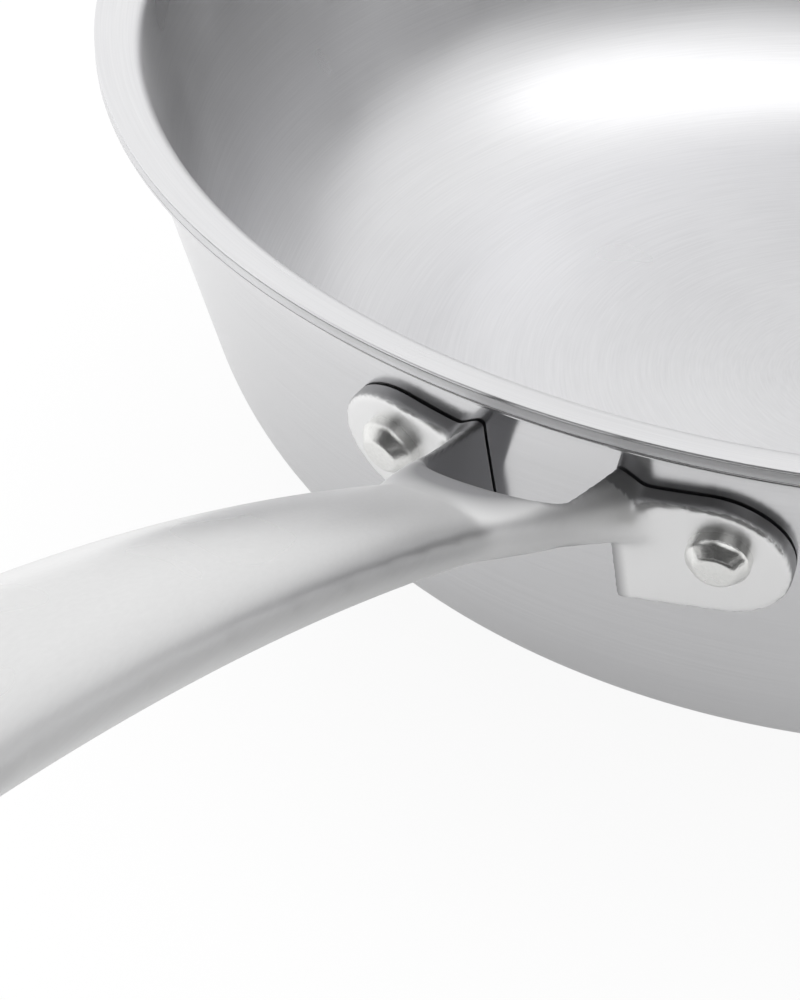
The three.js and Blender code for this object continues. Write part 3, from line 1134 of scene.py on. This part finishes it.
@dataclass
class Workshop:
    """Makes the materials, and the shader groups that they share.

    Attributes:
        blotches: about how many blotches lie in a metre.
        blotch_span: the part of the blotches' noise that changes the gloss.
        blotch_detail: finer steps in the blotches.
        stroke_detail: finer steps in the strokes.
        stroke_share: the strokes' share of the tone, beside the blotches.
        lengthening: width of lengthwise strokes against their length.
        edge_span: the pointiness where an edge begins to be bright and where it is.
        edge_tint: colour of the brightest edges.
        edge_shine: roughness that they lose.
        blasted_tint: colour of the blasted surface.
        blasted_dulling: roughness that it gains.
        arm_dulling: more of that off the pads.
        shade_tint: colour of the painted shade and painted dark reflections on the handle.
        shade_roughening: roughness that those places gain.
        grain_turn: turn of the spread of reflections, as a share of a full turn.
        bump_strength: strength of the strokes' relief.
        materials: the materials made, by name.
    """

    blotches: float = 40.0
    blotch_span: Span = (0.3, 0.7)
    blotch_detail: float = 2.0
    stroke_detail: float = 3.0
    stroke_share: float = 0.7
    lengthening: float = 0.02
    edge_span: Span = (0.62, 0.78)
    edge_tint: Colour = (0.86, 0.86, 0.86)
    edge_shine: float = 0.08
    blasted_tint: Colour = (0.86, 0.86, 0.86)
    blasted_dulling: float = 0.05
    arm_dulling: float = 0.12
    shade_tint: Colour = (0.22, 0.22, 0.23)
    shade_roughening: float = 0.12
    grain_turn: float = 0.25
    bump_strength: float = 0.5
    materials: dict[str, bpy.types.Material] = field(default_factory=dict)

    def __post_init__(self) -> None:
        """Build the shared groups."""
        self.round_group = self._round_group()
        self.stroke_group = self._stroke_group()
        self.edge_group = self._edge_group()

    def _group(self, name: str, inputs: dict[str, str], outputs: dict[str, str]) -> Nodes:
        """Make an empty shader group with named sockets.

        Args:
            name: the group's name.
            inputs: the kind of each input, by name.
            outputs: the kind of each output, by name.

        Returns:
            The group, with its input and output nodes.
        """
        tree = bpy.data.node_groups.new(name, "ShaderNodeTree")
        for in_out, sockets in (("INPUT", inputs), ("OUTPUT", outputs)):
            for label, kind in sockets.items():
                tree.interface.new_socket(label, in_out=in_out, socket_type="NodeSocket" + kind)
        tree.nodes.new("NodeGroupInput")
        tree.nodes.new("NodeGroupOutput")
        return tree

    def _round_group(self) -> Nodes:
        """Build the group that places strokes round the z axis, with no seam.

        Returns:
            The group.
        """
        inputs = {"Place": "Vector", "Strokes": "Float", "Length": "Float"}
        tree = self._group("round_strokes", inputs, {"Place": "Vector"})
        source, sink = tree.nodes["Group Input"], tree.nodes["Group Output"]
        split = tree.nodes.new("ShaderNodeSeparateXYZ")
        tree.links.new(source.outputs["Place"], split.inputs[0])
        x, y, z = split.outputs
        square = math_node(tree, "MULTIPLY_ADD", x, x, math_node(tree, "MULTIPLY", y, y))
        radius = math_node(tree, "MAXIMUM", math_node(tree, "SQRT", square), WELD)
        around = math_node(tree, "DIVIDE", 1.0, source.outputs["Length"])
        cosine = math_node(tree, "MULTIPLY", math_node(tree, "DIVIDE", x, radius), around)
        sine = math_node(tree, "MULTIPLY", math_node(tree, "DIVIDE", y, radius), around)
        across = math_node(tree, "MULTIPLY", math_node(tree, "ADD", radius, z), source.outputs["Strokes"])
        join = tree.nodes.new("ShaderNodeCombineXYZ")
        for socket, value in zip(join.inputs, (cosine, sine, across)):
            tree.links.new(value, socket)
        tree.links.new(join.outputs[0], sink.inputs["Place"])
        return tree

    def _stroke_group(self) -> Nodes:
        """Build the group that gives the tone of fine strokes with slow blotches under them.

        Returns:
            The group.
        """
        inputs = {"Strokes": "Vector", "Place": "Vector", "Blotch": "Float"}
        tree = self._group("worked_steel", inputs, {"Tone": "Float", "Blotch": "Float", "Height": "Float"})
        source, sink = tree.nodes["Group Input"], tree.nodes["Group Output"]
        fine = tree.nodes.new("ShaderNodeTexNoise")
        fine.inputs["Scale"].default_value = 1.0
        fine.inputs["Detail"].default_value = self.stroke_detail
        tree.links.new(source.outputs["Strokes"], fine.inputs["Vector"])
        slow = tree.nodes.new("ShaderNodeTexNoise")
        slow.inputs["Detail"].default_value = self.blotch_detail
        tree.links.new(source.outputs["Place"], slow.inputs["Vector"])
        tree.links.new(source.outputs["Blotch"], slow.inputs["Scale"])
        blotched = math_node(tree, "MULTIPLY", slow.outputs["Fac"], 1 - self.stroke_share)
        tone = math_node(tree, "MULTIPLY_ADD", fine.outputs["Fac"], self.stroke_share, blotched)
        tree.links.new(tone, sink.inputs["Tone"])
        tree.links.new(fine.outputs["Fac"], sink.inputs["Height"])
        tree.links.new(slow.outputs["Fac"], sink.inputs["Blotch"])
        return tree

    def _edge_group(self) -> Nodes:
        """Build the group that masks edges that handling and buffing have made bright.

        Returns:
            The group.
        """
        tree = self._group("edge_polish", {"Polish": "Float"}, {"Edge": "Float"})
        source, sink = tree.nodes["Group Input"], tree.nodes["Group Output"]
        pointiness = tree.nodes.new("ShaderNodeNewGeometry").outputs["Pointiness"]
        sharp = map_range(tree, pointiness, self.edge_span, (0.0, 1.0))
        edge = math_node(tree, "MULTIPLY", sharp, source.outputs["Polish"])
        tree.links.new(edge, sink.inputs["Edge"])
        return tree

    def _place_group(self, tree: Nodes, group: Nodes) -> bpy.types.Node:
        """Add a shared group to a material.

        Args:
            tree: the material's nodes.
            group: the shared group.

        Returns:
            The group's node.
        """
        node = tree.nodes.new("ShaderNodeGroup")
        node.node_tree = group
        return node

    def _strokes(self, tree: Nodes, finish: Finish, place: Socket) -> Socket:
        """Place the strokes of a finish in its material.

        Args:
            tree: the material's nodes.
            finish: the finish.
            place: the place on the piece.

        Returns:
            The place in the strokes' noise.
        """
        if finish.grain is Grain.ROUND:
            node = self._place_group(tree, self.round_group)
            node.inputs["Strokes"].default_value = finish.strokes
            node.inputs["Length"].default_value = finish.stroke_length
            tree.links.new(place, node.inputs["Place"])
            return node.outputs["Place"]
        node = tree.nodes.new("ShaderNodeMapping")
        slow = finish.strokes * (self.lengthening if finish.grain is Grain.LENGTHWISE else 1.0)
        node.inputs["Scale"].default_value = (slow, finish.strokes, finish.strokes)
        tree.links.new(place, node.inputs["Vector"])
        return node.outputs["Vector"]

    @staticmethod
    def _mix(tree: Nodes, share: Socket, first: object, second: object) -> Socket:
        """Mix two colours.

        Args:
            tree: the material's nodes.
            share: the second colour's share.
            first: a socket, or a colour with its alpha.
            second: the same for the second colour.

        Returns:
            The mixed colour.
        """
        node = tree.nodes.new("ShaderNodeMix")
        node.data_type = "RGBA"
        tree.links.new(share, node.inputs["Factor"])
        for label, value in (("A", first), ("B", second)):
            feed(tree, next(s for s in node.inputs if s.name == label and s.type == "RGBA"), value)
        return next(s for s in node.outputs if s.type == "RGBA")

    def _worn(self, tree: Nodes, polish: float, look: Look) -> Look:
        """Make the edges of a finish brighter.

        Args:
            tree: the material's nodes.
            polish: how bright they get.
            look: the colour and the roughness so far.

        Returns:
            The new colour and roughness.
        """
        tint, gloss = look
        node = self._place_group(tree, self.edge_group)
        node.inputs["Polish"].default_value = polish
        edge = node.outputs["Edge"]
        tint = self._mix(tree, edge, tint, (*self.edge_tint, 1))
        return tint, math_node(tree, "MULTIPLY_ADD", edge, -self.edge_shine, gloss)

    def _painted_shade_and_blast(self, tree: Nodes, look: Look) -> Look:
        """Lighten and roughen the blasted surface, and paint shade and dark reflections into the casting
        with more roughness, where its marks say so.

        Args:
            tree: the material's nodes.
            look: the colour and the roughness so far.

        Returns:
            The new colour and roughness.
        """
        tint, gloss = look
        marks = tree.nodes.new("ShaderNodeAttribute")
        marks.attribute_name = SHADE_AND_BLAST_MARKS
        split = tree.nodes.new("ShaderNodeSeparateColor")
        tree.links.new(marks.outputs["Color"], split.inputs[0])
        painted_shade, blasted, arm = split.outputs
        tint = self._mix(tree, blasted, tint, (*self.blasted_tint, 1))
        # Painted shade: the red mark darkens the tint, standing in for shade and dark reflections.
        tint = self._mix(tree, painted_shade, tint, (*self.shade_tint, 1))
        dulling = ((painted_shade, self.shade_roughening), (blasted, self.blasted_dulling), (arm, self.arm_dulling))
        for mask, amount in dulling:
            gloss = math_node(tree, "MULTIPLY_ADD", mask, amount, gloss)
        return tint, gloss

    def _spread(self, tree: Nodes, shader: bpy.types.Node, amount: float) -> None:
        """Spread reflections across strokes that run round the axis.

        Args:
            tree: the material's nodes.
            shader: the material's shader.
            amount: how far they spread.
        """
        tangent = tree.nodes.new("ShaderNodeTangent")
        tangent.direction_type = "RADIAL"
        tangent.axis = "Z"
        tree.links.new(tangent.outputs[0], shader.inputs["Tangent"])
        shader.inputs["Anisotropic"].default_value = amount
        shader.inputs["Anisotropic Rotation"].default_value = self.grain_turn

    def material(self, finish: Finish) -> bpy.types.Material:
        """Build the material of a finish, or give the one that was built before.

        Args:
            finish: the finish.

        Returns:
            Its material.
        """
        if finish.name in self.materials:
            return self.materials[finish.name]
        material = self.materials[finish.name] = bpy.data.materials.new(finish.name)
        material.use_nodes = True
        tree = material.node_tree
        shader = tree.nodes["Principled BSDF"]
        shader.inputs["Metallic"].default_value = 1.0
        place = tree.nodes.new("ShaderNodeTexCoord").outputs["Object"]
        worked = self._place_group(tree, self.stroke_group)
        worked.inputs["Blotch"].default_value = self.blotches
        tree.links.new(self._strokes(tree, finish, place), worked.inputs["Strokes"])
        tree.links.new(place, worked.inputs["Place"])
        tint = self._mix(tree, worked.outputs["Tone"], (*finish.dark, 1), (*finish.light, 1))
        gloss = map_range(tree, worked.outputs["Blotch"], self.blotch_span, finish.gloss)
        if finish.polish:
            tint, gloss = self._worn(tree, finish.polish, (tint, gloss))
        if finish.grain is Grain.LENGTHWISE:
            # Painted shade on the casting, with the blasted surface.
            tint, gloss = self._painted_shade_and_blast(tree, (tint, gloss))
        if finish.spread:
            self._spread(tree, shader, finish.spread)
        tree.links.new(tint, shader.inputs["Base Color"])
        tree.links.new(gloss, shader.inputs["Roughness"])
        bump = tree.nodes.new("ShaderNodeBump")
        bump.inputs["Strength"].default_value = self.bump_strength
        bump.inputs["Distance"].default_value = finish.depth
        tree.links.new(worked.outputs["Height"], bump.inputs["Height"])
        tree.links.new(bump.outputs["Normal"], shader.inputs["Normal"])
        return material

    def finish(self, piece: Piece, finish: Finish, node: str, slot: str) -> None:
        """Dress a piece, and let it stand for its solid.

        Args:
            piece: the finished mesh.
            finish: what its surface looks like.
            node: the solid that it stands for.
            slot: a material slot's name, not used.
        """
        piece.data.materials.clear()
        piece.data.materials.append(self.material(finish))
        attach(piece, BODY)
        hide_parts(node)
        log.info("%s: %d faces, %s", piece.name, len(piece.data.polygons), finish.grain.value)


@dataclass(frozen=True)
class Softbox:
    """A soft light, placed by its direction from the pan."""

    name: str
    side: float
    height: float
    distance: float
    size: Span
    level: float


KEY = Softbox(
    name="key_light",
    side=math.radians(-140),
    height=math.radians(60),
    distance=1.3,
    size=(1.0, 1.0),
    level=1.8,
)
FILL = Softbox(
    name="fill_light",
    side=math.radians(-110),
    height=math.radians(50),
    distance=1.2,
    size=(0.7, 0.7),
    level=2.0,
)


@dataclass
class Studio:
    """White floor, soft lights and the camera."""

    eye: tuple[float, float, float] = (361.66 * MM, 121.03 * MM, 262.0 * MM)
    heading: float = math.radians(30.44)
    pitch: float = math.radians(37.41)
    lens: float = 97.2
    clip_start: float = 10 * MM
    floor_size: float = 40.0
    floor_drop: float = 0.2 * MM
    floor_glow: float = 0.93
    floor_sheen: float = 0.35
    floor_tone: float = 0.9
    pale: float = 1.08
    dark: float = 0.08
    dark_side: float = math.radians(20)
    dark_height: float = math.radians(15)
    dark_fade: Span = (0.1, 0.7)
    glow: float = 1.1
    glow_side: float = math.radians(68)
    glow_height: float = math.radians(63)
    glow_fade: Span = (0.74, 0.98)
    card_start: float = 190 * MM
    card_size: Span = (900 * MM, 1400 * MM)
    card_side: float = math.radians(20)
    card_lift: float = 0.5 * MM
    card_tone: float = 0.05

    def camera(self) -> None:
        """Set the camera where the photograph was taken from."""
        data = bpy.data.cameras.new("camera")
        data.lens = self.lens
        data.clip_start = self.clip_start
        camera = bpy.data.objects.new("camera", data)
        camera.location = self.eye
        camera.rotation_euler = (math.pi / 2 - self.pitch, 0, math.pi / 2 + self.heading)
        bpy.context.scene.collection.objects.link(camera)
        bpy.context.scene.camera = camera

    def floor(self) -> None:
        """Lay a white floor that keeps a faint shadow."""
        deselect_all()
        bpy.ops.mesh.primitive_plane_add(size=self.floor_size, location=(0, 0, -self.floor_drop))
        floor = settle(bpy.context.object)
        floor.name = "floor"
        material = bpy.data.materials.new("white_floor")
        material.use_nodes = True
        tree = material.node_tree
        tree.nodes.clear()
        output = tree.nodes.new("ShaderNodeOutputMaterial")
        mix = tree.nodes.new("ShaderNodeMixShader")
        matt = tree.nodes.new("ShaderNodeBsdfDiffuse")
        matt.inputs["Color"].default_value = (*[self.floor_tone] * 3, 1)
        glow = tree.nodes.new("ShaderNodeEmission")
        path = tree.nodes.new("ShaderNodeLightPath")
        mirrored, passed = path.outputs["Is Glossy Ray"], path.outputs["Is Transmission Ray"]
        bounced = math_node(tree, "MAXIMUM", mirrored, passed)
        sheen = math_node(tree, "MULTIPLY", bounced, self.floor_sheen)
        glow_share = math_node(tree, "MULTIPLY", path.outputs["Is Camera Ray"], self.floor_glow)
        share = math_node(tree, "ADD", glow_share, sheen)
        tree.links.new(share, mix.inputs["Fac"])
        tree.links.new(matt.outputs[0], mix.inputs[1])
        tree.links.new(glow.outputs[0], mix.inputs[2])
        tree.links.new(mix.outputs[0], output.inputs["Surface"])
        floor.data.materials.append(material)

    def lobe(self, tree: Nodes, towards: Vector, fade: Span, levels: Span) -> Socket:
        """A soft patch of the room's light.

        Args:
            tree: the world's nodes.
            towards: the patch's middle.
            fade: cosines of the angle to the middle where the patch begins and where it is full.
            levels: the level outside the patch and inside it.

        Returns:
            The level in each direction.
        """
        dot = tree.nodes.new("ShaderNodeVectorMath")
        dot.operation = "DOT_PRODUCT"
        dot.inputs[1].default_value = towards
        tree.links.new(tree.nodes.new("ShaderNodeTexCoord").outputs["Generated"], dot.inputs[0])
        return map_range(tree, dot.outputs["Value"], fade, levels, "SMOOTHSTEP")

    def world(self) -> None:
        """Make the room pale, dark on the side where the camera stands and brightest overhead."""
        world = bpy.data.worlds.new("studio")
        world.use_nodes = True
        tree = world.node_tree
        shade_side = direction(self.dark_side, self.dark_height)
        room = self.lobe(tree, shade_side, self.dark_fade, (self.pale, self.dark))
        lamp_side = direction(self.glow_side, self.glow_height)
        lamp = self.lobe(tree, lamp_side, self.glow_fade, (0.0, self.glow))
        level = math_node(tree, "ADD", room, lamp)
        tree.links.new(level, tree.nodes["Background"].inputs["Color"])
        bpy.context.scene.world = world

    def softbox(self, box: Softbox) -> None:
        """Hang a soft light that faces the pan.

        Args:
            box: the light.
        """
        data = bpy.data.lights.new(box.name, "AREA")
        data.shape = "RECTANGLE"
        data.size, data.size_y = box.size
        data.energy = box.level * math.pi * data.size * data.size_y
        light = bpy.data.objects.new(box.name, data)
        towards = direction(box.side, box.height)
        light.location = towards * box.distance
        light.rotation_euler = towards.to_track_quat("Z", "Y").to_euler()
        light.visible_glossy = False
        bpy.context.scene.collection.objects.link(light)

    def flag(self) -> None:
        """Lay a dark card on the floor in front of the pan, which only reflections show."""
        deselect_all()
        bpy.ops.mesh.primitive_plane_add(size=1)
        card = bpy.context.object
        card.name = "dark_card"
        card.scale = (*self.card_size, 1)
        middle = Vector((self.card_start + self.card_size[0] / 2, 0, self.card_lift))
        turn = Matrix.Rotation(self.card_side, 4, "Z")
        settle(card)
        settle(card, turn @ Matrix.Translation(middle))
        material = bpy.data.materials.new("dark_card")
        material.use_nodes = True
        shader = material.node_tree.nodes["Principled BSDF"]
        shader.inputs["Base Color"].default_value = (*[self.card_tone] * 3, 1)
        shader.inputs["Roughness"].default_value = 1.0
        card.data.materials.append(material)
        card.visible_camera = False
        card.visible_diffuse = False
        card.visible_shadow = False

    def build(self) -> None:
        """Set up the studio."""
        self.camera()
        self.floor()
        self.world()
        self.flag()
        for box in (KEY, FILL):
            self.softbox(box)
        bpy.context.scene.view_settings.view_transform = "Standard"


def main() -> None:
    """Build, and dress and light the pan."""
    logging.basicConfig(level=logging.INFO)
    bowl = Bowl()
    rivets = Rivets(bowl)
    handle = Handle(bowl, rivets)
    workshop = Workshop()
    bowl.build(rivets.drills)
    rivets.build()
    handle.build()
    for part in (bowl, rivets, handle):
        part.dress(workshop)
    Studio().build()


if __name__ == "__main__":
    main()
